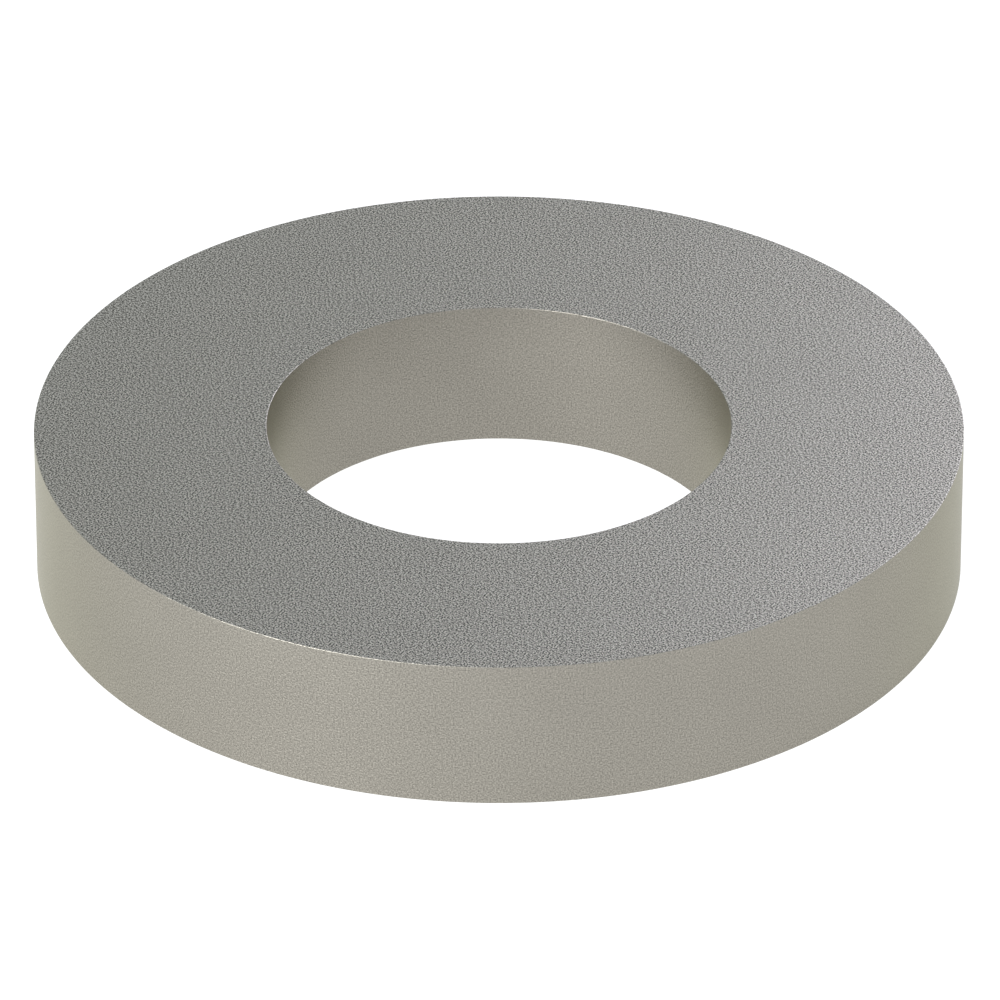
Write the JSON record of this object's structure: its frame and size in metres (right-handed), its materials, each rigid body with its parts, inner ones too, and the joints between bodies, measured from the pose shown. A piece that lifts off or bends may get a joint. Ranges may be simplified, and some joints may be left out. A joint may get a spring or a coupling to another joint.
{
  "type": "flat washer",
  "caption": "Thick plain flat washer: a round steel ring with parallel flat faces, straight walls and crisp edges, for a bolt or stud to pass through.",
  "frame": {"origin": "on the ring's axis, at the centre of the lower face", "axes": "+Z along the ring's axis, from the lower face to the upper one; X and Y lie in the lower face and are interchangeable"},
  "size_m": [0.0334, 0.0334, 0.0056],
  "materials": {
    "steel": "matt, with a fine even grain and no brushing direction"
  },
  "bodies": {
    "root": {"washer_ring": "steel"}
  },
  "joints": []
}
